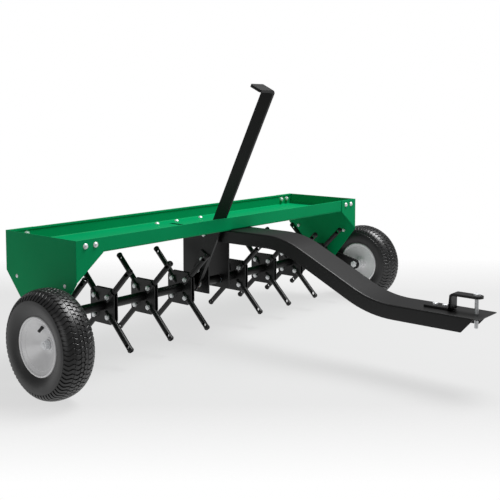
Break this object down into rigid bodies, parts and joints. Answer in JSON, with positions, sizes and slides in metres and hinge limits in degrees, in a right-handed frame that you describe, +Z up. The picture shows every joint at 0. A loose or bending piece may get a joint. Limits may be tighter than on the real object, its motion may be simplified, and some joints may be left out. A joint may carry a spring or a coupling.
{
  "type": "tow behind aerator",
  "caption": "Towed plug aerator: weight tray on end plates, coring wheels on a lift axle below it, pneumatic transport wheels, hand lever and a channel drawbar with a pin hitch.",
  "frame": {"origin": "on the ground under the middle of the machine's box", "axes": "+Z up, +X to the machine's left along the tray, the drawbar points to -Y"},
  "size_m": [1.453, 1.0564, 0.747],
  "materials": {
    "green_paint": "satin powder coat on pressed sheet",
    "black_paint": "semi-gloss powder coat",
    "zinc_plate": "bright zinc plating",
    "axle_steel": "drawn bar, lightly oiled",
    "rim_paint": "light grey paint on pressed steel",
    "tyre_rubber": "matt moulded rubber",
    "nylon": "natural moulded nylon",
    "valve_rubber": "moulded rubber"
  },
  "bodies": {
    "frame": {"tray": "green_paint", "right_end_plate": "green_paint", "left_end_plate": "green_paint", "flange_bolts": "zinc_plate", "plate_bolts": "zinc_plate", "tray_bolts": "zinc_plate", "drawbar": "black_paint", "hanger": "black_paint", "hanger_bolts": "zinc_plate", "hitch_strap": "black_paint", "strap_bolts": "zinc_plate", "end_bushes": "nylon", "hanger_bushes": "nylon"},
    "lift": {"axle": "axle_steel", "axle_spacers": "black_paint", "roll_pins": "zinc_plate", "right_arm": "black_paint", "left_arm": "black_paint", "lever": "black_paint", "lever_bracket": "black_paint", "lever_bolts": "zinc_plate", "wheel_bolts": "zinc_plate", "wheel_nuts": "zinc_plate", "wheel_washers": "zinc_plate", "wheel_spacers": "zinc_plate"},
    "right_wheel": {"right_tyre": "tyre_rubber", "right_rim": "rim_paint", "right_hub_bushes": "nylon", "right_valve": "valve_rubber"},
    "left_wheel": {"left_tyre": "tyre_rubber", "left_rim": "rim_paint", "left_hub_bushes": "nylon", "left_valve": "valve_rubber"},
    "pull_pin": {"hitch_pin": "zinc_plate"},
    "coring_wheel_1": {"coring_wheel_1_plates": "black_paint", "coring_wheel_1_tines": "black_paint", "coring_wheel_1_bolts": "zinc_plate"},
    "coring_wheel_2": {"coring_wheel_2_plates": "black_paint", "coring_wheel_2_tines": "black_paint", "coring_wheel_2_bolts": "zinc_plate"},
    "coring_wheel_3": {"coring_wheel_3_plates": "black_paint", "coring_wheel_3_tines": "black_paint", "coring_wheel_3_bolts": "zinc_plate"},
    "coring_wheel_4": {"coring_wheel_4_plates": "black_paint", "coring_wheel_4_tines": "black_paint", "coring_wheel_4_bolts": "zinc_plate"},
    "coring_wheel_5": {"coring_wheel_5_plates": "black_paint", "coring_wheel_5_tines": "black_paint", "coring_wheel_5_bolts": "zinc_plate"},
    "coring_wheel_6": {"coring_wheel_6_plates": "black_paint", "coring_wheel_6_tines": "black_paint", "coring_wheel_6_bolts": "zinc_plate"},
    "coring_wheel_7": {"coring_wheel_7_plates": "black_paint", "coring_wheel_7_tines": "black_paint", "coring_wheel_7_bolts": "zinc_plate"},
    "coring_wheel_8": {"coring_wheel_8_plates": "black_paint", "coring_wheel_8_tines": "black_paint", "coring_wheel_8_bolts": "zinc_plate"}
  },
  "joints": [
    {"name": "lift_turn", "type": "hinge", "parent": "frame", "child": "lift", "pos_m": [0, 0.36975, 0.155], "axis": [-1, 0, 0], "range_deg": [0, 50]},
    {"name": "right_wheel_roll", "type": "hinge", "parent": "lift", "child": "right_wheel", "pos_m": [0, 0.24494, 0.1315], "axis": [1, 0, 0], "continuous": true},
    {"name": "left_wheel_roll", "type": "hinge", "parent": "lift", "child": "left_wheel", "pos_m": [0, 0.24494, 0.1315], "axis": [1, 0, 0], "continuous": true},
    {"name": "coring_wheel_1_roll", "type": "hinge", "parent": "lift", "child": "coring_wheel_1", "pos_m": [0, 0.36975, 0.155], "axis": [1, 0, 0], "continuous": true},
    {"name": "coring_wheel_2_roll", "type": "hinge", "parent": "lift", "child": "coring_wheel_2", "pos_m": [0, 0.36975, 0.155], "axis": [1, 0, 0], "continuous": true},
    {"name": "coring_wheel_3_roll", "type": "hinge", "parent": "lift", "child": "coring_wheel_3", "pos_m": [0, 0.36975, 0.155], "axis": [1, 0, 0], "continuous": true},
    {"name": "coring_wheel_4_roll", "type": "hinge", "parent": "lift", "child": "coring_wheel_4", "pos_m": [0, 0.36975, 0.155], "axis": [1, 0, 0], "continuous": true},
    {"name": "coring_wheel_5_roll", "type": "hinge", "parent": "lift", "child": "coring_wheel_5", "pos_m": [0, 0.36975, 0.155], "axis": [1, 0, 0], "continuous": true},
    {"name": "coring_wheel_6_roll", "type": "hinge", "parent": "lift", "child": "coring_wheel_6", "pos_m": [0, 0.36975, 0.155], "axis": [1, 0, 0], "continuous": true},
    {"name": "coring_wheel_7_roll", "type": "hinge", "parent": "lift", "child": "coring_wheel_7", "pos_m": [0, 0.36975, 0.155], "axis": [1, 0, 0], "continuous": true},
    {"name": "coring_wheel_8_roll", "type": "hinge", "parent": "lift", "child": "coring_wheel_8", "pos_m": [0, 0.36975, 0.155], "axis": [1, 0, 0], "continuous": true},
    {"name": "pull_pin_lift", "type": "slide", "parent": "frame", "child": "pull_pin", "axis": [0, 0, 1], "range_m": [0, 0.075]}
  ]
}
